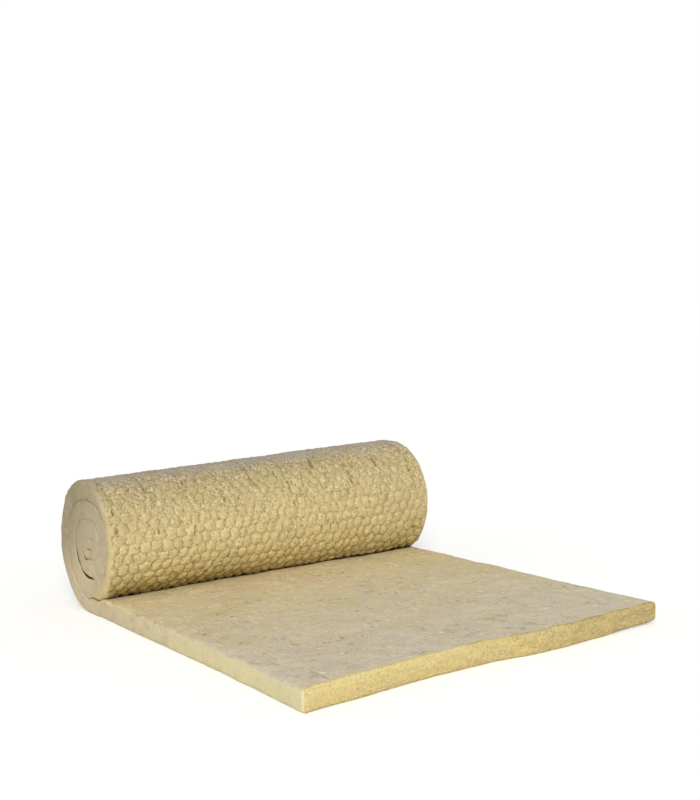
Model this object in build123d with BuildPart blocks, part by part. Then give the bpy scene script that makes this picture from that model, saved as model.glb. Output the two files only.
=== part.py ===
# A stone wool insulation mat, partly unrolled: one continuous mat, so one solid.
# X runs along the roll's axis, the flat tail runs towards -Y, and Z is up.
# The origin is on the floor, at the centre of the footprint. Lengths are in millimetres.

import os
from math import acos, cos, degrees, floor, sin, sqrt

from build123d import *

# The mat
mat_width = 1000.0
mat_thickness = 52.0
tail_length = 1050.0  # flat run from the roll's centre plane to the cut end
corner_radius = 12.0  # worn upright corners of the cut end

# The roll, wound without a core
roll_height = 360.0
slump = 24.0  # flat run at the crown and foot of each turn, from the roll's own weight
sink = 8.0  # how far the roll presses into the layer under it
tightest_turn = 20.0  # smallest radius that the mat's inner end is bent to

# The seam between the turns, where it opens on the two ends
seam_width = 5.0
seam_depth = 15.0
eye_width = 8.0  # slit inside the innermost half turn, right through the roll

# The outline's arcs: a larger one up the back, and a smaller one down the front to the crease
half_slump = slump / 2
back_radius = roll_height / 2
front_radius = (roll_height - mat_thickness + sink) / 2
crease_turn = acos((front_radius - sink) / front_radius)
crease = Vector(-half_slump - front_radius * sin(crease_turn), mat_thickness)

# The seam starts outside the crease, far enough for its cut to run out of the roll's face
crease_heading = Vector(cos(crease_turn), -sin(crease_turn))
seam_lead = sqrt(2 * front_radius * seam_width)

# Its half turns: each is half a thickness tighter than the one outside it
seam_radius = (roll_height + sink) / 2 - mat_thickness
radius_step = mat_thickness / 2
half_turns = 1 + floor((seam_radius - tightest_turn) / radius_step)

# The section lies across the roll, with its own origin on the floor below the roll's axis
overall_length = tail_length + half_slump + back_radius
roll_y = overall_length / 2 - half_slump - back_radius
section_plane = Plane(origin=(0, roll_y, 0), x_dir=(0, 1, 0), z_dir=(1, 0, 0))

# The seam's line, from the crease under the roll and round its turns to the eye
with BuildLine() as seam:
    lead = Line(crease - seam_lead * crease_heading, crease)
    turn = JernArc(lead @ 1, lead % 1, front_radius, degrees(crease_turn))
    for half_turn in range(half_turns):
        flat = Line(turn @ 1, turn @ 1 + slump * (turn % 1))
        turn = JernArc(flat @ 1, flat % 1, seam_radius - half_turn * radius_step, 180)
    eye = turn

with BuildPart() as wool_mat:
    # The mat's section: along the floor, round the outer turn and back over the tail
    with BuildSketch(section_plane):
        with BuildLine():
            underside = Line((-tail_length, 0), (half_slump, 0))
            back = JernArc(underside @ 1, underside % 1, back_radius, 180)
            crown = Line(back @ 1, (-half_slump, roll_height))
            front = JernArc(crown @ 1, crown % 1, front_radius, 180 - degrees(crease_turn))
            tail_top = Line(front @ 1, (-tail_length, mat_thickness))
            Line(tail_top @ 1, underside @ 0)
        make_face()
    extrude(amount=mat_width / 2, both=True)

    # The worn corners of the cut end
    cut_end_corners = wool_mat.edges().filter_by(Axis.Z).group_by(Axis.Y)[0]
    fillet(cut_end_corners, corner_radius)

    # The turns, as the open seam on each end
    for side in (-1, 1):
        with BuildSketch(section_plane.offset(side * mat_width / 2)):
            trace(seam.wires(), line_width=seam_width)
        extrude(amount=-side * seam_depth, mode=Mode.SUBTRACT)

    # The eye, open from end to end
    with BuildSketch(section_plane):
        SlotArc(eye, eye_width)
    extrude(amount=mat_width, both=True, mode=Mode.SUBTRACT)

wool_mat.part.label = "wool_mat"

os.makedirs("parts", exist_ok=True)
export_step(wool_mat.part, "parts/wool_mat.step")
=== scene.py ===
"""Stone wool insulation mat, partly unrolled, as a Blender add-on that is run as a script.

The mat is laid out flat at its full length, given the print of the belt that it was made on, shaped along
its edges and then rolled up along its path, as the real one is. The part's frame has X along the roll's
axis, the flat tail towards -Y, and Z up.
"""

import math

import bmesh
import bpy
import numpy as np
from bpy.props import FloatProperty, FloatVectorProperty, IntProperty, PointerProperty
from mathutils import Matrix, Vector, noise


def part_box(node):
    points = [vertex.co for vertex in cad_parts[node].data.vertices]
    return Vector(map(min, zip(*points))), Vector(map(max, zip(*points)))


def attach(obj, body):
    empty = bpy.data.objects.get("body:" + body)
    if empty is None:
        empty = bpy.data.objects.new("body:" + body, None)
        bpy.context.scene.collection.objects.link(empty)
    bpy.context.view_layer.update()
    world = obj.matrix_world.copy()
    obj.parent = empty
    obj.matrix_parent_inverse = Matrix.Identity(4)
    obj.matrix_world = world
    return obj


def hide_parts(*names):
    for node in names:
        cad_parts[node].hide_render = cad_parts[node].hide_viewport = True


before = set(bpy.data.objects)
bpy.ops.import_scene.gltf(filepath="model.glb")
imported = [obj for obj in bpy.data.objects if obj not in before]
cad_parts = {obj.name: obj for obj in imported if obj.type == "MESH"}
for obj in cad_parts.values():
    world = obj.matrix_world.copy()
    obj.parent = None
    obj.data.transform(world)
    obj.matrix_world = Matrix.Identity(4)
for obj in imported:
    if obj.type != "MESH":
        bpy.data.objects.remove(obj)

bl_info = {
    "name": "Insulation Roll",
    "version": (1, 0, 0),
    "blender": (4, 5, 0),
    "location": "View3D > Sidebar > Insulation",
    "description": "Models a partly unrolled stone wool mat on a pale studio floor",
    "category": "Object",
}

FLAT_PLACE = "laid_flat"  # attribute: along the mat, through it and across it, before it was rolled up
TUFT_CHANCE = "tuft_chance"  # attribute: a tuft's own chance from 0 to 1
TUFT_SEED = 1  # of the tufts' shapes, which would else change from run to run

CUT_STRAY = (  # how far back the cut end strays, by the place across the mat
    (-0.50, 0.0),
    (-0.35, 0.008),
    (-0.15, 0.020),
    (0.00, 0.016),
    (0.10, 0.0),
    (0.20, -0.006),
    (0.30, 0.0),
    (0.50, 0.004),
)
SEAM_GAP = 0.002  # how far apart the turns' edges stand on the roll's ends
SIDE_SWAY = 0.004  # how far the long sides wander, slowly
SIDE_RIPPLE = 0.0015  # and quickly
TAIL_SPREAD = 0.008  # how much wider the tail is on each side at its cut end
FAR_RISE = 0.007  # how much higher the roll stands at its far end
NEAR_DROP = 0.004  # and how much lower at its near end

# How far down both sides of the roll these reach, along the felt from the roll's top
CRUMBLED_FROM, CRUMBLED_TO = 0.09, 0.32
FLATTENED_REACH = 0.11
# dust, with painted sheen, along the roll's top
DUST_AND_SHEEN_REACH = 0.12
BARE_REACH = 0.14
# wear, with painted shade, towards the roll's top
WEAR_AND_SHADE_REACH = 0.29
PLATES_REACH = 0.35

SLANT_ROOM = 0.035  # in pitches: keeps the crevices along a pillow's slanted sides shallower
FIBRE_ROUGHNESS = 0.95

CAD_LOW, CAD_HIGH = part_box("wool_mat")
CAD_SIZE = CAD_HIGH - CAD_LOW


def srgb(red, green, blue):
    """A colour as seen on a screen, from 0 to 255, as the linear values that Blender takes."""
    shares = [value / 255 for value in (red, green, blue)]
    return [s / 12.92 if s <= 0.04045 else ((s + 0.055) / 1.055) ** 2.4 for s in shares]


def Length(description, default):
    return FloatProperty(description=description, default=default, min=0, unit="LENGTH")


def Number(description, default, subtype="NONE"):
    return FloatProperty(description=description, default=default, subtype=subtype)


def Count(description, default):
    return IntProperty(description=description, default=default, min=1)


def Place(description, default):
    return FloatVectorProperty(description=description, default=default, subtype="XYZ")


def Colour(description, *levels):
    default = srgb(*levels)
    return FloatVectorProperty(description=description, default=default, subtype="COLOR", min=0, max=1)


class MatSizes(bpy.types.PropertyGroup):
    """Sizes of the mat and of its roll."""

    width: Length("Across the mat, along the roll", CAD_SIZE.x)
    thickness: Length("Through the mat where nothing presses on it", 0.052)
    roll_height: Length("From the floor to the top of the roll", CAD_SIZE.z)
    slump: Length("Flat run at the top and foot of each turn", 0.024)
    sink: Length("How far the roll presses into the layer under it", 0.008)
    tightest_turn: Length("Smallest radius of the inner end's bend", 0.020)
    edge_radius: Length("Rounding along the tail's edges", 0.009)
    seam_radius: Length("Rounding of the inner turns' edges", 0.0015)
    shoulder: Length("Rounding of the roll's near rim", 0.014)
    far_shoulder: Length("Rounding of the roll's far rim", 0.015)
    flare: Length("How far the near rim stands out at the roll's front", 0.016)
    corner_radius: Length("Rounding of the cut end's upright corners", 0.006)
    corner_lift: Length("How far the cut end's far corner is up", 0.007)
    foot_sag: Length("How much deeper the roll's foot sinks at its far end", 0.014)
    crack: Length("How wide the open seams gape on the roll's ends", 0.009)
    triangles: Count("Most triangles in the finished mat", 196000)


class BeltPrint(bpy.types.PropertyGroup):
    """The print that the belt left on the mat's outer face."""

    pitch: Length("From pillow to pillow across the mat", 0.028)
    row: Length("From row to row along the mat", 0.0285)
    depth: Length("From a pillow's top to the crevice beside it", 0.0062)
    plate: Length("Between the lines that the belt's plates left", 0.1035)
    first_plate: Length("From the mat's middle to the first line", 0.063)
    samples: Count("Mesh faces to a pillow each way, before the detail", 3)


class LooseTufts(bpy.types.PropertyGroup):
    """Tufts of loose fibre on the felt."""

    length: Length("Of a middling tuft", 0.013)
    width: Length("Of a middling tuft", 0.006)
    height: Length("That a middling tuft stands out", 0.0016)
    on_tail: Number("Tufts to a square metre of the tail's upper face", 500)
    on_roll: Number("Tufts to a square metre of the roll's outer face", 1800)
    shapes: Count("Different tufts that are copied", 4)


class MatColours(bpy.types.PropertyGroup):
    """Colours of the felt and of the floor."""

    pillow: Colour("Outer face, on the pillows", 209, 189, 136)
    # painted shade between the pillows, painted shadow in the crease once darkened, and the colour of dark
    # flecks
    crevice: Colour("Between the pillows, and dark flecks", 106, 82, 28)
    # darker and more olive towards the roll's top: painted shade where less light falls, together with
    # wear
    worn: Colour("Outer face, towards the top of the roll", 171, 154, 114)
    # grey along the very top of the roll: dust, with painted sheen where the felt is seen edge-on
    dust: Colour("Along the very top of the roll", 169, 161, 156)
    # yellower and darker towards the roll's foot: painted warm shade, for light thrown up from the tail
    foot: Colour("Outer face, towards the roll's foot", 199, 178, 108)
    shoulder: Colour("The roll's rounded rims", 201, 183, 134)
    upper: Colour("The tail's smooth face, far from the roll", 213, 202, 178)
    upper_warm: Colour("The same, beside the roll", 214, 193, 148)
    upper_grey: Colour("Greyer patches of it", 195, 185, 168)
    upper_rosy: Colour("Rosier patches of it", 212, 186, 150)
    upper_olive: Colour("Yellower patches of it", 200, 188, 132)
    pale: Colour("Pale flecks", 222, 211, 172)
    yellow: Colour("Yellow flecks", 222, 202, 104)
    side: Colour("The tail's long sides", 222, 211, 166)
    roll_end: Colour("The turns' edges on the roll's ends", 194, 178, 147)
    # darker and greyer: the roll's ends towards the back and the top
    grime: Colour("The roll's ends towards the back", 161, 149, 121)
    cut: Colour("The cut end", 207, 185, 128)
    cut_pale: Colour("The cut end along its upper edge", 226, 211, 148)
    floor: Colour("Studio floor and backdrop", 250, 250, 249)


class StageSettings(bpy.types.PropertyGroup):
    """Camera and lights of the studio."""

    azimuth: Number("Camera's turn about Z", math.radians(-34.4466), "ANGLE")
    elevation: Number("Camera above level", math.radians(4.9181), "ANGLE")
    roll: Number("Camera about its line of sight", math.radians(-2.167), "ANGLE")
    target: Place("Point at the picture's middle", (0.381, 0.4714, 0.4972))
    distance: Length("From the target to the camera", 3.8788)
    lens: Number("Focal length for a 36 mm frame", 57.648, "DISTANCE_CAMERA")
    key: Number("Strength of the key light", 2.3)
    key_angle: Number("Softness of the key light", math.radians(25), "ANGLE")
    key_way: Place("Where the key light shines to", (0.44, 0.76, -0.48))
    sky: Number("Strength of the even light all round", 0.5)
    floor_size: Length("Across the studio floor", 60)
    floor_glow: Number("What the camera sees beyond the lit floor", 0.2)


class RollPath:
    """The path of the mat's outer face in the roll's section: the tail, then half turns inwards."""

    def __init__(self, sizes):
        self.half_slump = sizes.slump / 2
        self.tail = CAD_SIZE.y - self.half_slump - sizes.roll_height / 2
        self.levels = []
        foot, crown = 0.0, sizes.roll_height
        while crown - foot >= 2 * sizes.tightest_turn:
            self.levels += [foot, crown]
            foot += sizes.thickness - (sizes.sink if foot == 0 else 0)
            crown -= sizes.thickness
        self.radii = [abs(end - start) / 2 for start, end in zip(self.levels, self.levels[1:])]
        self.starts = [self.tail + self.half_slump]
        for radius in self.radii:
            self.starts.append(self.starts[-1] + math.pi * radius + sizes.slump)
        self.length = self.starts.pop()

    def knots(self):
        """(place, handle before, handle after) of each knot, with quarter circles between them."""
        quarter = 4 / 3 * math.tan(math.pi / 8)
        run = Vector((self.tail + self.half_slump, 0, 0)) / 3
        yield Vector((-self.tail, 0, 0)), -run, run
        for turn, (radius, level) in enumerate(zip(self.radii, self.levels)):
            side = 1 if turn % 2 == 0 else -1
            rise = self.levels[turn + 1] - level
            ahead = Vector((side * quarter * radius, 0, 0))
            upward = Vector((0, quarter * rise / 2, 0))
            slump = Vector((side * self.half_slump * 2 / 3, 0, 0))
            foot = Vector((side * self.half_slump, level, 0))
            yield foot, -(slump if turn else run), ahead
            yield foot + Vector((side * radius, rise / 2, 0)), -upward, upward
            yield foot + Vector((0, rise, 0)), ahead, -slump
        yield foot + Vector((-side * 2 * self.half_slump, rise, 0)), slump, -slump

    def draw(self):
        """The path as a curve object in the plane of the roll's section."""
        curve = bpy.data.curves.new("roll_path", "CURVE")
        curve.dimensions = "2D"
        curve.resolution_u = 64
        spline = curve.splines.new("BEZIER")
        knots = list(self.knots())
        spline.bezier_points.add(len(knots) - 1)
        for point, (place, before, after) in zip(spline.bezier_points, knots):
            point.co = place
            point.handle_left = place + before
            point.handle_right = place + after
        path = bpy.data.objects.new("roll_path", curve)
        bpy.context.collection.objects.link(path)
        return path


class Formula:
    """Adds nodes to a tree, so that one formula can drive a relief and a colour alike."""

    def __init__(self, tree):
        self.tree = tree

    def add(self, kind, *values, **settings):
        node = self.tree.nodes.new(kind)
        for name, value in settings.items():
            setattr(node, name, value)
        for socket, value in zip(node.inputs, values):
            self.feed(socket, value)
        return node

    def feed(self, socket, value):
        if isinstance(value, bpy.types.NodeSocket):
            self.tree.links.new(value, socket)
        elif value is not None:
            socket.default_value = value

    def feed_all(self, node, values):
        """Feeds a node's sockets by their names."""
        for name, value in values.items():
            self.feed(node.inputs[name], value)
        return node

    def maths(self, operation, *values):
        return self.add("ShaderNodeMath", *values, operation=operation).outputs[0]

    def chain(self, operation, first, *others):
        """Joins values from left to right by one operation."""
        for other in others:
            first = self.maths(operation, first, other)
        return first

    def product(self, *values):
        return self.chain("MULTIPLY", *values)

    def total(self, *values):
        return self.chain("ADD", *values)

    def less(self, *values):
        return self.chain("SUBTRACT", *values)

    def highest(self, *values):
        return self.chain("MAXIMUM", *values)

    def size_of(self, value):
        return self.maths("ABSOLUTE", value)

    def step(self, value, start, end):
        """0 before start and 1 past end, with a smooth rise between them."""
        node = self.add("ShaderNodeMapRange", value, start, end, interpolation_type="SMOOTHSTEP")
        return node.outputs[0]

    def span(self, value, low, high):
        """A value from 0 to 1 spread from low to high."""
        return self.maths("MULTIPLY_ADD", value, high - low, low)

    def vector(self, x, y, z=0.0):
        return self.add("ShaderNodeCombineXYZ", x, y, z).outputs[0]

    def split(self, vector):
        return self.add("ShaderNodeSeparateXYZ", vector).outputs

    def noise(self, place, size, detail=2.0, roughness=0.5):
        """Soft noise from 0 to 1, with lumps of about this size."""
        values = {"Vector": place, "Scale": 1 / size, "Detail": detail, "Roughness": roughness}
        return self.feed_all(self.add("ShaderNodeTexNoise"), values).outputs[0]

    def blend(self, share, first, second):
        node = self.add("ShaderNodeMix", data_type="RGBA")
        for name, value in (("Factor_Float", share), ("A_Color", first), ("B_Color", second)):
            socket = next(s for s in node.inputs if s.identifier == name)
            plain = isinstance(value, (bpy.types.NodeSocket, float))
            self.feed(socket, value if plain else (*value, 1.0))
        return next(s for s in node.outputs if s.identifier == "Result_Color")

    def flat_place(self):
        """In a material: along the mat, through it and across it, before it was rolled up."""
        return self.add("ShaderNodeAttribute", attribute_name=FLAT_PLACE).outputs["Vector"]

    def shaded(self, colour, shade):
        """A colour made lighter or darker by a factor."""
        node = self.add("ShaderNodeMix", data_type="RGBA", blend_type="MULTIPLY")
        node.inputs["Factor"].default_value = 1.0
        self.feed(node.inputs[6], colour)
        self.feed(node.inputs[7], self.vector(shade, shade, shade))
        return node.outputs[2]

    def surface(self, values):
        """Ends a material with a shader that has these values."""
        shader = self.feed_all(self.add("ShaderNodeBsdfPrincipled"), values)
        self.add("ShaderNodeOutputMaterial", shader.outputs[0])

    def by_chance(self, kind, low, high, seed):
        """A value of its own for each point, between low and high."""
        node = self.add("FunctionNodeRandomValue", data_type=kind)
        wanted = {"FLOAT": "_001", "INT": "_002", "FLOAT_VECTOR": ""}[kind]
        sockets = {socket.identifier: socket for socket in node.inputs}
        self.feed(sockets["Min" + wanted], low)
        self.feed(sockets["Max" + wanted], high)
        self.feed(sockets["Seed"], seed)
        return next(socket for socket in node.outputs if socket.identifier == "Value" + wanted)


def new_node_group(name):
    """An empty group that takes and gives a geometry, the formula that fills it, and the flat place."""
    tree = bpy.data.node_groups.new(name, "GeometryNodeTree")
    for way in ("INPUT", "OUTPUT"):
        tree.interface.new_socket("Geometry", in_out=way, socket_type="NodeSocketGeometry")
    f = Formula(tree)
    place = f.add("GeometryNodeInputNamedAttribute", FLAT_PLACE, data_type="FLOAT_VECTOR")
    return tree, f, f.split(place.outputs[0])


def new_material(name):
    """A material with nothing in it yet."""
    material = bpy.data.materials.new(name)
    material.use_nodes = True
    material.node_tree.nodes.clear()
    return material


def pillow_cell(f, column, row, seed):
    """How far inside a six-sided pillow a place lies, in pitches, and the pillow's own chance."""
    nearest = f.maths("ROUND", column)
    pair = f.maths("ROUND", f.product(row, 0.5))
    off_column = f.size_of(f.less(column, nearest))
    off_row = f.size_of(f.maths("MULTIPLY_ADD", pair, -2.0, row))
    half_slant = math.hypot(0.5, 1) / 2
    sideways = f.product(off_column, 0.25 / half_slant)
    slant = f.maths("MULTIPLY_ADD", off_row, 0.5 / half_slant, sideways)
    to_upright_side = f.less(0.5, off_column)
    to_slanted_side = f.less(half_slant + SLANT_ROOM, slant)
    edge = f.maths("MINIMUM", to_upright_side, to_slanted_side)
    middle = f.vector(nearest, pair, seed)
    chance = f.add("ShaderNodeTexWhiteNoise", middle, noise_dimensions="3D")
    return edge, chance.outputs[0]


def from_crown(f, along, path):
    """How far a place is from the line along the roll's top."""
    return f.size_of(f.less(along, path.starts[1] - path.half_slump))


def near_crown(f, along, path, reach):
    """1 along the top of the roll, falling to 0 down both sides of it."""
    return f.step(from_crown(f, along, path), reach, 0.02)


def near_foot(f, along, path):
    """1 along the foot of the roll, where the print is sharpest and the painted shade strongest, falling
    to 0 at half its height.
    """
    return f.step(from_crown(f, along, path), 0.26, 0.44)


def crumbled(f, along, path):
    """1 where the roll's print is crumbled, on both sides of its top, and 0 elsewhere."""
    top = near_crown(f, along, path, CRUMBLED_FROM)
    return f.product(near_crown(f, along, path, CRUMBLED_TO), f.less(1.0, top))


def to_the_rim(f, across, sizes):
    """How far a place is from the nearer of the mat's long sides."""
    return f.less(sizes.width / 2, f.size_of(across))


def warmth(f, along, path):
    """0 at the cut end of the tail, rising to 1 beside the roll."""
    return f.step(along, path.tail - 1.0, path.tail - 0.1)


def belt_pillows(f, along, across, belt, path):
    """The staggered rows of pillows: how far inside its pillow a place lies, and its pillow's chance."""
    shifts = []
    for seed in (1.7, 5.3):
        slow = f.noise(f.vector(along, across, seed), 2.0 * belt.pitch)
        quick = f.noise(f.vector(along, across, seed + 2), 0.35 * belt.pitch)
        crumbling = f.span(crumbled(f, along, path), 1.0, 2.3)
        quick, slow = f.span(quick, -0.20, 0.20), f.span(slow, -0.46, 0.46)
        shifts.append(f.maths("MULTIPLY_ADD", quick, crumbling, slow))
    column = f.total(f.maths("DIVIDE", across, belt.pitch), shifts[0])
    row = f.total(f.maths("DIVIDE", along, belt.row), shifts[1])
    even, even_chance = pillow_cell(f, column, row, 0.5)
    odd, odd_chance = pillow_cell(f, f.less(column, 0.5), f.less(row, 1.0), 7.5)
    first = f.maths("GREATER_THAN", even, odd)
    chance = f.add("ShaderNodeMix", data_type="FLOAT")
    for socket, value in zip(chance.inputs, (first, None, odd_chance, even_chance)):
        f.feed(socket, value)
    return f.highest(even, odd), chance.outputs[0]


def plate_line(f, along, across, belt, path, half_width):
    """1 on the broken lines that the belt's plates left along the mat, fewer away from the roll's top."""
    sway = f.span(f.noise(f.vector(along, across), 0.05), -0.11, 0.11)
    turn = f.total(f.maths("DIVIDE", f.total(across, belt.first_plate), belt.plate), sway)
    off_line = f.product(f.size_of(f.less(turn, f.maths("ROUND", turn))), belt.plate)
    rarity = f.span(near_crown(f, along, path, PLATES_REACH), 0.56, 0.39)
    broken = f.step(f.less(f.noise(f.vector(along, across, 4.0), 0.022), rarity), 0.0, 0.15)
    return f.product(f.step(off_line, half_width, half_width / 4), broken)


def rims_kept_plain(f, along, across, sizes, path):
    """0 on the rounded rims, which the belt didn't print, and 1 between them."""
    ragged = f.span(f.noise(f.vector(along, across, 2.0), 0.03), -0.016, 0.016)
    foot = f.product(f.step(along, path.starts[2] - 0.15, path.starts[2] - 0.09), -0.022)
    inside = f.total(to_the_rim(f, across, sizes), ragged, foot)
    reach = f.span(f.maths("GREATER_THAN", across, 0.0), 1.0, 1.7)
    return f.step(f.maths("DIVIDE", inside, reach), -0.004, 0.012)


def deselect_all():
    bpy.ops.object.select_all(action="DESELECT")


def apply_modifier(piece, kind, **settings):
    bpy.context.view_layer.objects.active = piece
    bpy.ops.object.modifier_add(type=kind)
    modifier = piece.modifiers[-1]
    for name, value in settings.items():
        setattr(modifier, name, value)
    bpy.ops.object.modifier_apply(modifier=modifier.name)


def read_points(mesh):
    points = np.empty(len(mesh.vertices) * 3)
    mesh.vertices.foreach_get("co", points)
    return points.reshape(-1, 3)


def write_points(mesh, points):
    mesh.vertices.foreach_set("co", points.ravel())
    mesh.update()


def flat_places(mat):
    """Where each point of the mat lay along, through and across it before it was shaped."""
    places = np.empty(len(mat.data.vertices) * 3)
    mat.data.attributes[FLAT_PLACE].data.foreach_get("vector", places)
    return places.reshape(-1, 3).T


def select_in_edit(piece, kind, wanted):
    """Selects the faces or edges of a piece in edit mode that a test picks."""
    bpy.ops.mesh.select_mode(type=kind)
    bpy.ops.mesh.select_all(action="DESELECT")
    mesh = bmesh.from_edit_mesh(piece.data)
    for item in mesh.faces if kind == "FACE" else mesh.edges:
        if wanted(item):
            item.select_set(True)
    bmesh.update_edit_mesh(piece.data)


def lay_flat_mat(sizes, belt, path):
    """The mat at its full length: along X, through Y and across Z, with its outer face at Y = 0."""
    deselect_all()
    bpy.ops.mesh.primitive_grid_add(
        x_subdivisions=round(path.length / belt.row * belt.samples),
        y_subdivisions=round(sizes.width / belt.pitch * belt.samples),
        size=1,
        location=(path.length / 2, 0, 0),
        rotation=(math.pi / 2, 0, 0),
    )
    mat = bpy.context.object
    mat.name = mat.data.name = "stone_wool_mat"
    mat.scale = (path.length, sizes.width, 1)
    bpy.ops.object.transform_apply(location=True, rotation=True, scale=True)
    apply_modifier(mat, "SOLIDIFY", thickness=sizes.thickness, offset=-1)

    rim = 1.5 * belt.row / belt.samples
    print_start, print_end = path.starts[0] - 0.04, path.starts[2] + 0.02

    def needs_detail(face):
        middle = face.calc_center_median()
        printed = middle.y < 0.001 and print_start < middle.x < print_end
        return printed or middle.x < rim or sizes.width / 2 - abs(middle.z) < rim

    def runs_through(edge):
        step = edge.verts[1].co - edge.verts[0].co
        return abs(step.y) > 0.9 * step.length

    bpy.ops.object.mode_set(mode="EDIT")
    select_in_edit(mat, "FACE", needs_detail)
    bpy.ops.mesh.subdivide(number_cuts=3)
    select_in_edit(mat, "EDGE", runs_through)
    bpy.ops.mesh.subdivide(number_cuts=2)
    bpy.ops.object.mode_set(mode="OBJECT")

    attribute = mat.data.attributes.new(FLAT_PLACE, "FLOAT_VECTOR", "POINT")
    attribute.data.foreach_set("vector", read_points(mat.data).ravel())
    return mat


def print_relief(mat, sizes, belt, path):
    """Presses the belt's print into the outer face of the turn that shows."""
    tree, f, (along, through, across) = new_node_group("Belt print")
    edge, chance = belt_pillows(f, along, across, belt, path)
    crown = near_crown(f, along, path, FLATTENED_REACH)
    inward = f.product(f.highest(edge, 0.0), 2.0)
    hollow = f.maths("POWER", f.less(1.0, inward), 2.1)
    lumps = f.span(f.noise(f.vector(along, across, 9.0), 1.5 * belt.pitch), 0.4, 1.5)
    sunk = f.span(chance, -0.55, -0.25)
    firmness = f.span(crown, 1.0, 0.12)
    pillows = f.product(f.maths("MULTIPLY_ADD", hollow, lumps, sunk), firmness)
    crumbs = f.product(
        f.span(f.noise(f.vector(along, across, 3.0), 0.014, 3.0), -0.5, 0.5),
        f.span(crumbled(f, along, path), 1.0, 3.2),
        f.span(crown, 1.0, 0.3),
    )
    lines = f.product(plate_line(f, along, across, belt, path, 0.005), 0.8)
    shown = f.product(
        f.step(along, path.starts[0] - 0.03, path.starts[0] + 0.04),
        f.step(along, path.starts[2] + 0.01, path.starts[2] - 0.04),
        rims_kept_plain(f, along, across, sizes, path),
    )
    outer_face = f.step(through, 0.002, 0.001)
    depth = f.product(f.total(pillows, crumbs, lines), belt.depth, outer_face, shown)
    start = f.add("NodeGroupInput").outputs[0]
    inwards = f.vector(0.0, depth, 0.0)
    moved = f.add("GeometryNodeSetPosition", start, None, None, inwards).outputs[0]
    f.add("NodeGroupOutput", moved)
    apply_modifier(mat, "NODES", node_group=tree)


def rounded(first, second, radius):
    """How far two faces' points move away from them, where the edge between the faces is rounded."""
    inside = (first < radius) & (second < radius)
    reach = np.maximum(radius, 1e-6)
    a = np.where(inside, 1 - first / reach, 0)
    b = np.where(inside, 1 - second / reach, 0)
    share = 1 - np.maximum(a, b) / np.maximum(np.hypot(a, b), 1e-9)
    return a * share * reach, b * share * reach


def smooth_steps(values, start, end):
    share = np.clip((values - start) / (end - start), 0, 1)
    return share * share * (3 - 2 * share)


def wander(values, seed, size):
    """Slow noise from -1 to 1 along a line, with waves of about this size."""
    knots = np.arange(values.min() - size, values.max() + 2 * size, size / 4)
    heights = [noise.noise(Vector((knot / size, seed, 0))) for knot in knots]
    return np.interp(values, knots, heights)


class FlatMat:
    """The points of the flat mat while they are shaped, and where each lay in the plain mat."""

    def __init__(self, mat, sizes, path):
        self.sizes, self.path = sizes, path
        self.points = read_points(mat.data)
        self.along, self.through, self.across = flat_places(mat)
        self.side = np.sign(self.across)
        self.to_rim = sizes.width / 2 - np.abs(self.across)
        self.to_top = sizes.thickness - self.through
        self.share_through = self.through / sizes.thickness
        self.rolled = smooth_steps(self.along, path.starts[0], path.starts[0] + 0.1)


def round_edges(m):
    """Wide shoulders on the roll's rims, close seams inside it, and soft edges on the tail."""
    sizes, path, along, to_rim = m.sizes, m.path, m.along, m.to_rim
    front = smooth_steps(along, path.starts[1] - 0.02, path.starts[1] + 0.16)
    near_rim = sizes.corner_radius + front * (sizes.shoulder - sizes.corner_radius)
    rim = np.where(m.side < 0, near_rim, sizes.far_shoulder)
    shoulder = sizes.edge_radius + m.rolled * (rim - sizes.edge_radius)
    shoulder = np.where(along < path.starts[2], shoulder, sizes.seam_radius)
    inner = sizes.edge_radius + m.rolled * (sizes.seam_radius - sizes.edge_radius)
    from_rim_low, from_face = rounded(to_rim, m.through, shoulder)
    from_rim_high, from_top = rounded(to_rim, m.to_top, inner)
    from_corner_rim, from_corner_end = rounded(to_rim, along, sizes.corner_radius)
    from_end_low, from_end_face = rounded(along, m.through, sizes.edge_radius / 2)
    from_end_high, from_end_top = rounded(along, m.to_top, sizes.edge_radius / 4)
    m.points[:, 0] += from_corner_end + from_end_low + from_end_high
    m.points[:, 1] += from_face + from_end_face - from_top - from_end_top
    m.points[:, 2] -= m.side * (from_rim_low + from_rim_high + from_corner_rim)


def stray_cut_end(m):
    """The cut end isn't straight, and its far corner is up off the floor."""
    strays = np.interp(m.across, *zip(*CUT_STRAY))
    m.points[:, 0] += strays * smooth_steps(m.along, 0.2, 0.0)
    lift = m.sizes.corner_lift * smooth_steps(m.across, 0.28, 0.5)
    lift *= smooth_steps(m.along, 0.25, 0.0)
    m.points[:, 1] += lift * (1 - m.share_through)


def open_seams(m):
    """The turns stand a little apart on the roll's ends, and gape round the inner turns' foot."""
    along = m.along
    near_end = smooth_steps(m.to_rim, 0.07, 0.0)
    outer_half = m.through < m.sizes.thickness / 2
    inside = along > m.path.starts[2]
    ajar = np.clip(0.6 + 0.9 * wander(along, 61.0, 0.09), 0, 1.4)
    m.points[:, 1] -= SEAM_GAP * ajar * near_end * outer_half * inside
    foot = m.path.starts[4]
    for way, here, start, end, width_share in (
        (1, 1 - m.share_through, foot - 0.05, foot + 0.26, 1.0),
        (-1, m.share_through, foot - 0.01, foot + 0.19, 0.8),
    ):
        gape = smooth_steps(along, start, start + 0.04) * smooth_steps(along, end, end - 0.14)
        uneven = 1 + 0.35 * wander(along, 40.0, 0.03)
        width = way * width_share * m.sizes.crack
        m.points[:, 1] += width * gape * uneven * near_end * here


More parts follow.
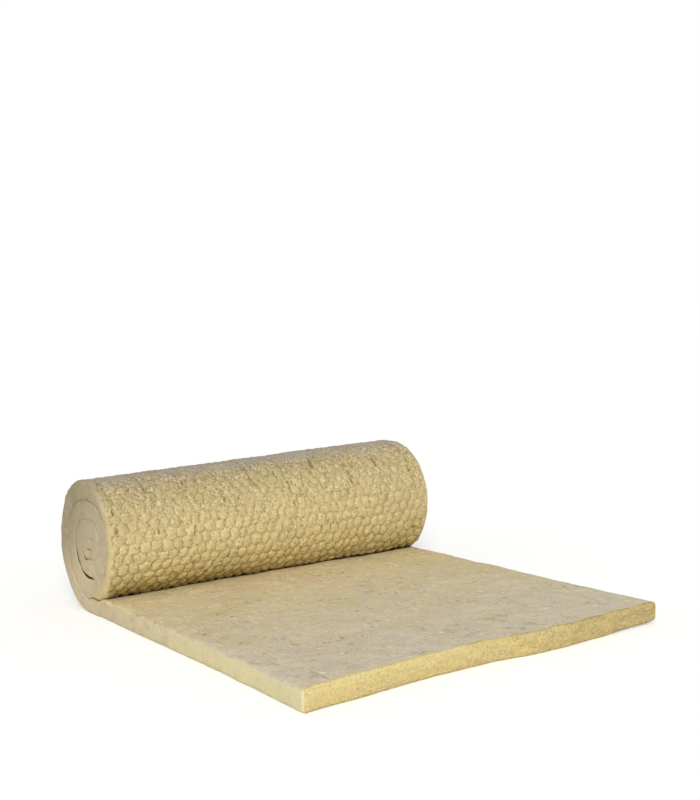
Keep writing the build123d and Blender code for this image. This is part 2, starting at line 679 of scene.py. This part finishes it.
def press(m):
    """The tail is pressed under the roll, and the inner end is squeezed where it bends tightest."""
    sizes, path, along = m.sizes, m.path, m.along
    ahead = np.clip(path.tail - path.half_slump - along, 0, path.radii[1])
    under_front = path.levels[2] + path.radii[1] - np.sqrt(path.radii[1] ** 2 - ahead**2)
    up_back = np.clip((along - path.starts[0]) / path.radii[0], 0, math.pi)
    behind = path.levels[2] + sizes.sink * (1 - np.cos(up_back)) / 2
    pressed = np.where(along < path.starts[0], under_front, behind)
    share = np.minimum(pressed / sizes.thickness, 1)
    squeezed = path.radii[-1] * 0.95 / sizes.thickness
    share *= 1 + (squeezed - 1) * smooth_steps(along, path.starts[-1] - 0.12, path.starts[-1])
    m.points[:, 1] *= share


def flare_rims(m):
    """The near rim of the outer turn stands out at the front of the roll, the far one half as far."""
    down_front = np.clip((m.along - m.path.starts[1]) / m.path.radii[1], 0, math.pi)
    outward = smooth_steps(m.share_through, 1.0, 0.35)
    flare = m.sizes.flare * np.sin(down_front) * outward * smooth_steps(m.to_rim, 0.2, 0.0)
    m.points[:, 2] -= np.where(m.side < 0, flare, -0.5 * flare)


def sway_sides(m):
    """The long sides wander, so that the turns stand a little in and out of the roll's ends."""
    for way, seed in ((-1, 3.0), (1, 8.0)):
        here = m.side == way
        along = m.along[here]
        drift = SIDE_SWAY * wander(along, seed, 0.35) + SIDE_RIPPLE * wander(along, seed + 20, 0.05)
        drift += TAIL_SPREAD * smooth_steps(along, 0.35, 0.0)
        m.points[here, 2] += way * drift * smooth_steps(m.to_rim[here], 0.12, 0.0)


def wave_upper_edges(m):
    """The tail's upper edges are soft and wavy, the near one more so."""
    for way, seed, drop in ((-1, 51.0, 0.005), (1, 57.0, 0.0015)):
        here = m.side == way
        along = m.along[here]
        wave = 0.3 + 0.9 * wander(along, seed, 0.06) + 0.5 * wander(along, seed + 3, 0.16)
        edge = smooth_steps(m.to_rim[here], 0.035, 0.0)
        edge = edge * smooth_steps(m.to_top[here], 0.03, 0.0) * (1 - m.rolled[here])
        m.points[here, 1] -= drop * wave * edge


def shape_mat(mat, sizes, path):
    """Gives the flat mat the shapes that cutting, rolling and its own weight left on it."""
    flat = FlatMat(mat, sizes, path)
    steps = round_edges, stray_cut_end, open_seams, press, flare_rims, sway_sides, wave_upper_edges
    for step in steps:
        step(flat)
    write_points(mat.data, flat.points)


def soften(mat):
    """Gives the felt its slow unevenness."""
    for size, strength in ((0.09, 0.0045), (0.035, 0.0022)):
        lumps = bpy.data.textures.new("Felt lumps", "CLOUDS")
        lumps.noise_scale = size
        settings = {"strength": strength, "mid_level": 0.5, "texture_coords": "LOCAL"}
        apply_modifier(mat, "DISPLACE", texture=lumps, **settings)


def roll_up(mat, path):
    """Bends the flat mat along its path and stands the roll on the floor of the part's frame."""
    curve = path.draw()
    apply_modifier(mat, "CURVE", object=curve, deform_axis="POS_X")
    bpy.data.objects.remove(curve)
    deselect_all()
    mat.select_set(True)
    mat.rotation_euler = (math.pi / 2, 0, math.pi / 2)
    mat.location = (0, CAD_LOW.y + path.tail, 0)
    bpy.ops.object.transform_apply(location=True, rotation=True, scale=True)


def settle(mat, sizes, path):
    """Stands the roll higher at its far end and lower at its near one, with its foot sunk in."""
    along, through, _ = flat_places(mat)
    points = read_points(mat.data)
    x, _, z = points.T
    high_up = smooth_steps(z, 0.1, CAD_HIGH.z)
    lift = smooth_steps(x, -0.25, 0.5) * high_up
    drop = smooth_steps(x, -0.15, -0.5) * high_up
    tail = through / sizes.thickness * smooth_steps(along, path.tail - 0.08, path.tail)
    layer = np.where(along < path.starts[1], tail, 1)
    deeper = 0.2 + 0.8 * smooth_steps(x, -0.25, 0.45)
    sag = sizes.foot_sag * deeper * smooth_steps(z, 0.2, 0.06) * layer
    points[:, 2] += FAR_RISE * lift - NEAR_DROP * drop - sag
    write_points(mat.data, points)


def tuft_shape(number, tufts):
    """One wad of loose fibre, flat and crooked, lying along X."""
    deselect_all()
    bpy.ops.mesh.primitive_uv_sphere_add(segments=6, ring_count=6, radius=1, rotation=(0, math.pi / 2, 0))
    tuft = bpy.context.object
    tuft.name = tuft.data.name = "tuft_shape_%d" % number
    bpy.ops.object.transform_apply(location=True, rotation=True, scale=True)
    points = read_points(tuft.data)
    shift = Vector((7.0 * number, 0, 0))
    noise.seed_set(TUFT_SEED)
    strays = np.array([noise.noise_vector(Vector(point) * 1.3 + shift) for point in points])
    points += 0.55 * strays
    points[:, 1] += 1.2 * (0.5 - number % 2) * points[:, 0] ** 2
    points *= (tufts.length / 2, tufts.width / 2, tufts.height)
    write_points(tuft.data, points)
    bpy.ops.object.shade_smooth()
    return tuft


def scatter_tufts(mat, sizes, tufts, path):
    """Loose tufts on the tail's upper face and on the roll's outer face, as one piece of their own."""
    shapes = [tuft_shape(number, tufts) for number in range(tufts.shapes)]
    tree, f, (along, through, across) = new_node_group("Loose tufts")
    clumps = f.step(f.noise(f.vector(along, across, 21.0), 0.07, 3.0), 0.42, 0.66)
    inside_rims = f.step(to_the_rim(f, across, sizes), 0.012, 0.03)
    on_tail = f.product(
        f.step(through, sizes.thickness - 0.003, sizes.thickness - 0.001),
        f.step(along, path.tail - 0.10, path.tail - 0.14),
        f.step(along, 0.015, 0.03),
        tufts.on_tail,
    )
    on_roll = f.product(
        f.step(through, 0.003, 0.001),
        f.step(along, path.starts[0] + 0.06, path.starts[0] + 0.12),
        f.step(along, path.starts[2] - 0.14, path.starts[2] - 0.20),
        f.span(near_crown(f, along, path, BARE_REACH), 1.0, 0.0),
        tufts.on_roll,
    )
    spots = f.add("GeometryNodeDistributePointsOnFaces", distribute_method="RANDOM")
    density = f.product(f.total(on_tail, on_roll), f.span(clumps, 0.1, 2.0), inside_rims)
    start = f.add("NodeGroupInput").outputs[0]
    f.feed_all(spots, {"Mesh": start, "Density": density, "Seed": 5})

    spin = f.vector(0.0, 0.0, f.by_chance("FLOAT", 0.0, 2 * math.pi, 1))
    spin = f.add("FunctionNodeEulerToRotation", spin).outputs[0]
    upright = spots.outputs["Rotation"]
    turned = f.add("FunctionNodeRotateRotation", upright, spin, rotation_space="LOCAL")
    stretch = f.by_chance("FLOAT_VECTOR", (0.4, 0.5, 0.5), (1.6, 1.5, 1.4), 2)
    scale = f.add("ShaderNodeVectorMath", stretch, operation="SCALE")
    f.feed(scale.inputs["Scale"], f.span(on_roll, 1.0, 1.0 - 0.5 / tufts.on_roll))
    gathered = f.add("GeometryNodeJoinGeometry")
    for shape in shapes:
        source = f.add("GeometryNodeObjectInfo", shape)
        source.inputs["As Instance"].default_value = True
        f.feed(gathered.inputs[0], source.outputs["Geometry"])
    copies = f.feed_all(
        f.add("GeometryNodeInstanceOnPoints"),
        {
            "Points": spots.outputs["Points"],
            "Instance": gathered.outputs[0],
            "Pick Instance": True,
            "Instance Index": f.by_chance("INT", 0, tufts.shapes - 1, 3),
            "Rotation": turned.outputs[0],
            "Scale": scale.outputs[0],
        },
    )
    marked = f.add("GeometryNodeStoreNamedAttribute", copies.outputs[0], domain="INSTANCE")
    f.feed_all(marked, {"Name": TUFT_CHANCE, "Value": f.by_chance("FLOAT", 0.0, 1.0, 4)})
    real = f.add("GeometryNodeRealizeInstances", marked.outputs[0])
    f.add("NodeGroupOutput", real.outputs[0])

    piece = bpy.data.objects.new("loose_tufts", mat.data.copy())
    piece.data.name = piece.name
    bpy.context.collection.objects.link(piece)
    apply_modifier(piece, "NODES", node_group=tree)
    for shape in shapes:
        bpy.data.objects.remove(shape)
    return piece


def tuft_material(colours, path):
    """Loose fibre: the colour of the felt under it, paler, browner or yellower."""
    material = new_material("Loose fibre")
    f = Formula(material.node_tree)
    along, through, _ = f.split(f.flat_place())
    chance = f.add("ShaderNodeAttribute", attribute_name=TUFT_CHANCE).outputs["Fac"]
    upper = f.step(through, 0.02, 0.03)
    on_tail = f.blend(warmth(f, along, path), colours.upper, colours.upper_warm)
    # on the roll: wear and painted shade towards its top, as on the felt
    on_roll = f.blend(near_crown(f, along, path, WEAR_AND_SHADE_REACH), colours.pillow, colours.worn)
    colour = f.blend(upper, on_roll, on_tail)
    for start, end, tint, strength in (
        (0.45, 0.0, colours.pale, 0.6),
        (0.75, 0.80, colours.yellow, 0.15),
        (0.85, 0.95, colours.crevice, 0.3),
    ):
        colour = f.blend(f.product(f.step(chance, start, end), strength), colour, tint)
    fuzz = f.noise(f.add("ShaderNodeTexCoord").outputs["Object"], 0.003, 2.0)
    # painted shade: tufts on the tail's upper face are 8 % darker, against the extra light that they catch
    # standing up
    shade = f.product(f.span(fuzz, 0.8, 1.2), f.span(upper, 1.0, 0.92))
    f.surface(
        {
            "Base Color": f.shaded(colour, shade),
            "Roughness": FIBRE_ROUGHNESS,
            "Specular IOR Level": 0.15,
        }
    )
    return material


def flecks(f, place, size, rarity, seed, crowding=0.12):
    """1 on small ragged flecks of about this size, fewer for a higher rarity."""
    x, y, z = f.split(place)
    lifted = f.vector(x, y, f.total(z, seed))
    crowded = f.span(f.noise(lifted, 8 * size), -crowding, crowding)
    return f.step(f.total(f.noise(lifted, size, 2.0), crowded), rarity, rarity + 0.07)


class FeltFormula(Formula):
    """The formula of the felt's material, with what its colours are worked out from."""

    def __init__(self, tree, sizes, belt, colours, path):
        super().__init__(tree)
        self.sizes, self.belt, self.colours, self.path = sizes, belt, colours, path
        self.place = self.flat_place()
        self.along, self.through, self.across = self.split(self.place)
        self.spread = self.vector(self.along, self.across)
        self.to_rim = to_the_rim(self, self.across, sizes)
        self.rolled = self.step(self.along, 0.1, path.tail + 0.15)
        self.mottle = self.noise(self.spread, 0.045, 4.0)
        self.fine = self.noise(self.place, 0.006, 3.0, 0.6)
        self.patchy = self.step(self.noise(self.spread, 0.014, 3.0), 0.38, 0.62)
        ragged = self.span(self.noise(self.place, 0.045, 3.0), -0.010, 0.010)
        self.depth = self.total(self.through, ragged)
        self.edge, self.chance = belt_pillows(self, self.along, self.across, belt, path)
        _, self.back, self.height = self.split(self.add("ShaderNodeTexCoord").outputs["Object"])
        # darker towards the roll's top: painted shade, and wear that also thins the print's crevices there
        crown = near_crown(self, self.along, path, WEAR_AND_SHADE_REACH)
        self.worn = self.product(crown, self.span(self.mottle, 0.6, 1.3))
        crease = self.span(self.step(self.across, -0.25, 0.45), 0.070, 0.096)
        self.up_the_roll = self.less(path.starts[2], self.along, crease)
        self.out_on_the_tail = self.less(path.tail, self.along, crease)
        # painted shadow: a near-black brown for the crease where the roll lies on the tail
        self.deep = [0.2 * level for level in colours.crevice]

        # 1 on the cut end, the outer face and the upper face, and 0 elsewhere
        round_corner = self.product(self.step(self.to_rim, 0.006, 0.0), 0.012)
        self.cut_end = self.step(self.total(self.along, ragged, round_corner), 0.012, 0.006)
        past_rims = rims_kept_plain(self, self.along, self.across, sizes, path)
        self.outer_face = self.product(self.step(self.through, 0.006, 0.001), past_rims)
        on_tail = self.step(self.along, path.tail, path.tail - 0.1)
        self.upper_face = self.product(
            self.step(self.depth, sizes.thickness - 0.006, sizes.thickness - 0.002),
            self.highest(self.step(self.to_rim, 0.001, 0.004), on_tail),
            self.less(1.0, self.cut_end),
        )


def flecked(f, colour, place, kinds, crowding=0.12):
    """A colour with kinds of flecks on it: each a size, a rarity, a seed, a tint and a strength."""
    for size, rarity, seed, tint, strength in kinds:
        here = flecks(f, place, size, rarity, seed, crowding)
        colour = f.blend(f.product(here, strength), colour, tint)
    return colour


def outer_colour(f):
    """Pillows that differ a little, painted shade here and there between them, wear and painted shade on
    the roll's top.
    """
    colours, path = f.colours, f.path
    along, across, spread, edge = f.along, f.across, f.spread, f.edge
    foot = near_foot(f, along, path)
    # greyer along the roll's top: dust, with painted sheen
    dust = f.step(f.noise(spread, 0.07, 4.0, 0.65), 0.35, 0.65)
    dust_and_sheen_share = f.product(near_crown(f, along, path, DUST_AND_SHEEN_REACH), f.span(dust, 0.35, 1.15))
    # painted warm shade towards the roll's foot
    colour = f.blend(foot, colours.pillow, colours.foot)
    colour = f.blend(f.worn, colour, colours.worn)
    colour = f.blend(dust_and_sheen_share, colour, colours.dust)

    ridge = f.product(
        f.step(edge, 0.05, 0.12),
        f.step(edge, 0.30, 0.18),
        f.step(f.noise(spread, 0.013, 2.0), 0.45, 0.65),
    )
    pale = f.highest(ridge, flecks(f, spread, 0.006, 0.58, 7.0))
    colour = f.blend(f.product(pale, 0.6), colour, colours.pale)

    # painted shade in the crevices between the pillows, stronger towards the foot; pits, plate lines and
    # specks are dark marks in the felt
    gap_shade = f.product(f.step(edge, 0.08, 0.0), f.patchy, f.span(foot, 0.8, 1.0), f.span(f.worn, 1.0, 0.8))
    pits = f.product(flecks(f, spread, 0.006, 0.58, 8.0), f.step(edge, 0.25, 0.05), f.span(foot, 0.7, 0.9))
    lines = plate_line(f, along, across, f.belt, path, 0.004)
    crumbling = f.span(crumbled(f, along, path), 0.4, 1.0)
    specks = f.product(flecks(f, spread, 0.007, 0.58, 6.0), crumbling)
    dark = f.highest(gap_shade, pits, lines, specks)
    colour = f.blend(f.product(dark, 0.75), colour, colours.crevice)
    colour = f.blend(f.product(f.chance, 0.25), colour, colours.worn)

    # painted shade on the roll's lower side towards the crease, deeper at the near end
    belly_shade = f.product(
        f.step(along, path.starts[2] - 0.21, path.starts[2] - 0.07),
        f.span(f.step(across, 0.1, -0.4), 0.46, 0.80),
    )
    colour = f.blend(belly_shade, colour, colours.crevice)
    # painted shadow along the crease, up the roll's foot
    return f.blend(f.product(f.step(f.up_the_roll, 0.034, 0.006), 0.95), colour, f.deep)


def upper_colour(f):
    """Patchy and flecked, warmer near the roll, with painted shadow in under it."""
    colours, along, across = f.colours, f.along, f.across
    warm = warmth(f, along, f.path)
    colour = f.blend(warm, colours.upper, colours.upper_warm)
    for size, tint, seed in ((0.13, colours.upper_rosy, 11.0), (0.10, colours.upper_olive, 14.0)):
        patch = f.step(f.noise(f.vector(along, across, seed), size, 3.0), 0.48, 0.72)
        colour = f.blend(f.product(patch, f.span(warm, 0.25, 0.7)), colour, tint)
    grey = f.product(f.step(f.mottle, 0.42, 0.68), f.span(warm, 0.45, 0.25))
    colour = f.blend(grey, colour, colours.upper_grey)
    # painted highlight and painted shadow: pale streaks, each with a dark one just beside it, as on small
    # folds
    for shift, tint, strength in ((0.0, colours.pale, 0.7), (0.006, colours.crevice, 0.28)):
        streak = f.vector(f.product(along, 0.08), f.total(across, shift))
        colour = flecked(f, colour, streak, [(0.012, 0.66, 9.0, tint, strength)])
    kinds = (
        (0.034, 0.62, 1.0, colours.pale, 0.5),
        (0.028, 0.66, 2.0, colours.crevice, 0.22),
        (0.016, 0.63, 21.0, colours.pale, 0.75),
        (0.013, 0.68, 22.0, colours.crevice, 0.42),
        (0.030, 0.72, 3.0, colours.yellow, 0.3),
    )
    colour = flecked(f, colour, f.spread, kinds, crowding=0.25)
    return f.blend(under_the_roll(f), colour, f.deep)


def under_the_roll(f):
    """1 on the upper face where the roll lies on it or its seams gape, and 0 elsewhere: there it is
    painted with shadow.
    """
    path, along = f.path, f.along
    gaping = f.step(f.to_rim, 0.001, 0.010)
    for start, end in (
        (path.starts[2] - 0.10, path.starts[2] + 0.44),
        (path.starts[4] - 0.03, path.starts[4] + 0.21),
    ):
        here = f.product(f.step(along, start, start + 0.04), f.step(along, end, end - 0.06))
        gaping = f.highest(gaping, here)
    in_the_roll = f.product(f.step(along, path.tail, path.tail + 0.05), gaping)
    past_corner = f.highest(f.step(f.to_rim, 0.004, 0.03), in_the_roll)
    return f.product(f.step(f.out_on_the_tail, 0.012, 0.003), past_corner)


def side_colour(f):
    """Pale along the tail, blotched on the roll's ends, and darker and greyer towards their back and top.
    """
    colours, path, along = f.colours, f.path, f.along
    colour = f.blend(f.rolled, colours.side, colours.roll_end)
    # the roll's ends turn darker and greyer towards the back and the top
    behind = f.less(f.back, CAD_LOW.y + path.tail)
    behind = f.maths("MULTIPLY_ADD", f.height, 0.8, behind)
    on_the_ends = f.step(along, path.tail + 0.05, path.tail + 0.3)
    colour = f.blend(f.product(f.step(behind, 0.12, 0.32), on_the_ends), colour, colours.grime)
    dull = [0.78 * level for level in colours.roll_end]
    for size, seed, tint, strength in ((0.03, 31.0, dull, 0.7), (0.05, 34.0, colours.upper_rosy, 0.3)):
        shifted = f.vector(along, f.total(f.through, seed), f.across)
        blotch = f.step(f.noise(shifted, size, 4.0, 0.6), 0.45, 0.75)
        colour = f.blend(f.product(blotch, f.span(f.rolled, 0.15, 1.0), strength), colour, tint)
    shoulder = f.product(
        f.step(f.depth, 0.045, 0.004),
        f.step(along, path.starts[1] + 0.06, path.starts[1] + 0.26),
        f.step(along, path.starts[2] - 0.02, path.starts[2] - 0.06),
    )
    return f.blend(shoulder, colour, colours.shoulder)


def cut_colour(f):
    """Flecked layers, duller towards the far corner and paler along the near upper edge."""
    colours, sizes, across = f.colours, f.sizes, f.across
    layers = f.vector(f.product(across, 0.45), f.through, f.along)
    slope = f.maths("DIVIDE", across, 1.6 * sizes.width)
    rough = f.maths("MULTIPLY_ADD", f.noise(layers, 0.02, 3.0, 0.6), 1.2, slope)
    dull = [0.62 * level for level in colours.cut]
    colour = f.blend(f.step(rough, 0.25, 1.2), colours.cut, dull)
    high_up = f.step(f.depth, 0.2 * sizes.thickness, sizes.thickness)
    pale_edge = f.product(high_up, f.step(across, 0.25, -0.35), 0.5)
    colour = f.blend(pale_edge, colour, colours.cut_pale)
    kinds = (
        (0.005, 0.60, 4.0, colours.crevice, 0.3),
        (0.004, 0.58, 5.0, colours.pale, 0.35),
        (0.008, 0.58, 15.0, colours.yellow, 0.3),
    )
    return flecked(f, colour, layers, kinds)


def felt_shade(f):
    """How much lighter or darker the felt is from place to place, with painted shade low on the roll's far
    side and painted light on the tail beside the roll.
    """
    along, across, tail = f.along, f.across, f.path.tail
    coarse = f.highest(f.outer_face, f.cut_end, f.product(f.upper_face, 0.4))
    broad = f.span(f.noise(f.spread, 0.22, 2.0), 0.95, 1.05)
    grain = f.less(f.fine, 0.5)
    below_the_top = f.step(from_crown(f, along, f.path), 0.12, 0.26)
    # painted shade low on the far side of the roll's outer face
    far = f.product(f.outer_face, f.step(across, 0.15, 0.42), below_the_top)
    # painted light on the tail's upper face beside the roll, where the roll shades it
    near_the_roll = f.step(along, tail - 0.26, tail - 0.13)
    beside_the_roll = f.product(f.upper_face, near_the_roll, f.step(across, 0.35, 0.05))
    ends = f.product(f.rolled, f.less(1.0, f.highest(f.outer_face, f.upper_face)))
    # the roll's ends lighter near the floor and darker towards the top
    by_height = f.span(f.step(f.height, 0.06, 0.32), 0.08, -0.075)
    return f.product(
        f.maths("MULTIPLY_ADD", grain, f.span(coarse, 0.28, 0.8), broad),
        f.span(far, 1.0, 0.9),
        f.span(beside_the_roll, 1.0, 1.08),
        f.maths("MULTIPLY_ADD", ends, by_height, 1.0),
    )


def fibre_height(f):
    """The height of fibres, of crumbs and of the crevices between pillows, for the bump."""
    place = f.place
    height = f.total(f.fine, f.product(f.noise(place, 0.0018, 2.0), 0.5))
    height = f.maths("MULTIPLY_ADD", f.mottle, 1.5, height)
    for size, roughness, plain, printed in ((0.008, 0.65, 0.5, 1.4), (0.03, 0.5, 2.0, 0.0)):
        crumbs = f.noise(place, size, 3.0, roughness)
        share = f.span(f.outer_face, plain, printed)
        height = f.maths("MULTIPLY_ADD", crumbs, share, height)
    valley = f.product(
        f.step(f.edge, 0.10, 0.0),
        f.outer_face,
        f.span(f.worn, 1.0, 0.3),
        f.span(f.patchy, 0.4, 1.0),
    )
    return f.maths("MULTIPLY_ADD", valley, -0.8, height)


def felt_material(sizes, belt, colours, path):
    """Felted stone wool: pillows outside, a flecked upper face, pale sides and a golden cut end."""
    material = new_material("Stone wool felt")
    f = FeltFormula(material.node_tree, sizes, belt, colours, path)
    colour = f.blend(f.cut_end, side_colour(f), cut_colour(f))
    colour = f.blend(f.upper_face, colour, upper_colour(f))
    colour = f.blend(f.outer_face, colour, outer_colour(f))
    # painted shadow on the roll's ends along the crease
    crease_end = f.product(
        f.step(f.up_the_roll, 0.030, 0.004),
        f.step(f.through, 0.016, 0.004),
        f.step(f.to_rim, 0.004, 0.020),
    )
    colour = f.blend(crease_end, colour, f.deep)
    bump = f.add("ShaderNodeBump")
    f.feed_all(bump, {"Strength": 0.7, "Distance": 0.0025, "Height": fibre_height(f)})
    tint = (*colours.pale, 1.0)
    f.surface(
        {
            "Base Color": f.shaded(colour, felt_shade(f)),
            "Roughness": FIBRE_ROUGHNESS,
            "Normal": bump.outputs[0],
            "Specular IOR Level": 0.1,
            "Specular Tint": tint,
            "Sheen Weight": 0.08,
            "Sheen Roughness": 0.6,
            "Sheen Tint": tint,
        }
    )
    return material


class INSULATION_OT_wool_mat(bpy.types.Operator):
    """Model the felt mat flat, print it, roll it up and give it its felt"""

    bl_idname = "insulation.wool_mat"
    bl_label = "Wool Mat"

    def execute(self, context):
        scene = context.scene
        sizes, belt = scene.mat_sizes, scene.belt_print
        path = RollPath(sizes)
        mat = lay_flat_mat(sizes, belt, path)
        print_relief(mat, sizes, belt, path)
        shape_mat(mat, sizes, path)
        soften(mat)
        roll_up(mat, path)
        settle(mat, sizes, path)
        mat.data.calc_loop_triangles()
        apply_modifier(mat, "DECIMATE", ratio=sizes.triangles / len(mat.data.loop_triangles))
        bpy.ops.object.shade_smooth()
        mat.data.materials.append(felt_material(sizes, belt, scene.mat_colours, path))
        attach(mat, "root")
        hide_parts("wool_mat")
        return {"FINISHED"}


class INSULATION_OT_loose_tufts(bpy.types.Operator):
    """Scatter loose tufts of fibre over the felt"""

    bl_idname = "insulation.loose_tufts"
    bl_label = "Loose Tufts"

    def execute(self, context):
        scene = context.scene
        path = RollPath(scene.mat_sizes)
        mat = scene.objects["stone_wool_mat"]
        tufts = scatter_tufts(mat, scene.mat_sizes, scene.loose_tufts, path)
        tufts.data.materials.clear()
        tufts.data.materials.append(tuft_material(scene.mat_colours, path))
        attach(tufts, "root")
        return {"FINISHED"}


class INSULATION_OT_stage(bpy.types.Operator):
    """Set up the pale floor, the soft lights and the camera"""

    bl_idname = "insulation.stage"
    bl_label = "Stage"

    def execute(self, context):
        scene = context.scene
        self.floor(scene)
        self.light(scene)
        self.camera(scene)
        scene.view_settings.view_transform = "Standard"
        return {"FINISHED"}

    def floor(self, scene):
        deselect_all()
        bpy.ops.mesh.primitive_plane_add(size=scene.stage_settings.floor_size)
        floor = bpy.context.object
        floor.name = "studio_floor"
        material = bpy.data.materials.new("Studio floor")
        material.use_nodes = True
        f = Formula(material.node_tree)
        seen = f.add("ShaderNodeLightPath").outputs["Is Camera Ray"]
        f.feed_all(
            material.node_tree.nodes["Principled BSDF"],
            {
                "Base Color": (*scene.mat_colours.floor, 1),
                "Roughness": 0.9,
                "Specular IOR Level": 0.1,
                "Emission Color": (1, 1, 1, 1),
                "Emission Strength": f.product(seen, scene.stage_settings.floor_glow),
            },
        )
        floor.data.materials.append(material)

    def light(self, scene):
        stage = scene.stage_settings
        world = bpy.data.worlds.new("Studio")
        world.use_nodes = True
        world.node_tree.nodes.clear()
        f = Formula(world.node_tree)
        seen = f.add("ShaderNodeLightPath").outputs["Is Camera Ray"]
        background = f.add("ShaderNodeBackground", (1, 1, 1, 1), f.span(seen, stage.sky, 1.0))
        f.add("ShaderNodeOutputWorld", background.outputs[0])
        scene.world = world
        sun = bpy.data.lights.new("key", "SUN")
        sun.angle = stage.key_angle
        sun.energy = stage.key
        key = bpy.data.objects.new("key", sun)
        key.rotation_euler = Vector(stage.key_way).to_track_quat("-Z", "Y").to_euler()
        scene.collection.objects.link(key)

    def camera(self, scene):
        stage = scene.stage_settings
        turn, lift, roll = stage.azimuth, stage.elevation, stage.roll
        back = Vector((math.sin(turn) * math.cos(lift), -math.cos(turn) * math.cos(lift), math.sin(lift)))
        level = Vector((math.cos(turn), math.sin(turn), 0))
        up = back.cross(level)
        right = level * math.cos(roll) + up * math.sin(roll)
        up = up * math.cos(roll) - level * math.sin(roll)
        data = bpy.data.cameras.new("camera")
        data.lens = stage.lens
        camera = bpy.data.objects.new("camera", data)
        axes = Matrix((right, up, back)).transposed().to_4x4()
        camera.matrix_world = Matrix.Translation(Vector(stage.target) + stage.distance * back) @ axes
        scene.collection.objects.link(camera)
        scene.camera = camera


class INSULATION_PT_panel(bpy.types.Panel):
    """Sizes and colours of the mat, and what makes it"""

    bl_label = "Insulation Roll"
    bl_space_type = "VIEW_3D"
    bl_region_type = "UI"
    bl_category = "Insulation"

    def draw(self, context):
        layout = self.layout
        for operator in OPERATORS:
            layout.operator(operator.bl_idname)
        for name in SETTINGS:
            group = getattr(context.scene, name)
            box = layout.box()
            for prop in group.bl_rna.properties:
                if prop.identifier not in {"rna_type", "name"}:
                    label = prop.identifier.replace("_", " ").capitalize()
                    box.prop(group, prop.identifier, text=label)


SETTINGS = {
    "mat_sizes": MatSizes,
    "belt_print": BeltPrint,
    "loose_tufts": LooseTufts,
    "mat_colours": MatColours,
    "stage_settings": StageSettings,
}
OPERATORS = (INSULATION_OT_wool_mat, INSULATION_OT_loose_tufts, INSULATION_OT_stage)
CLASSES = (*SETTINGS.values(), *OPERATORS, INSULATION_PT_panel)


def register():
    for cls in CLASSES:
        bpy.utils.register_class(cls)
    for name, group in SETTINGS.items():
        setattr(bpy.types.Scene, name, PointerProperty(type=group))


def unregister():
    for name in SETTINGS:
        delattr(bpy.types.Scene, name)
    for cls in reversed(CLASSES):
        bpy.utils.unregister_class(cls)


def main():
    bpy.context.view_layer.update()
    register()
    bpy.ops.insulation.wool_mat()
    bpy.ops.insulation.loose_tufts()
    bpy.ops.insulation.stage()


if __name__ == "__main__":
    main()
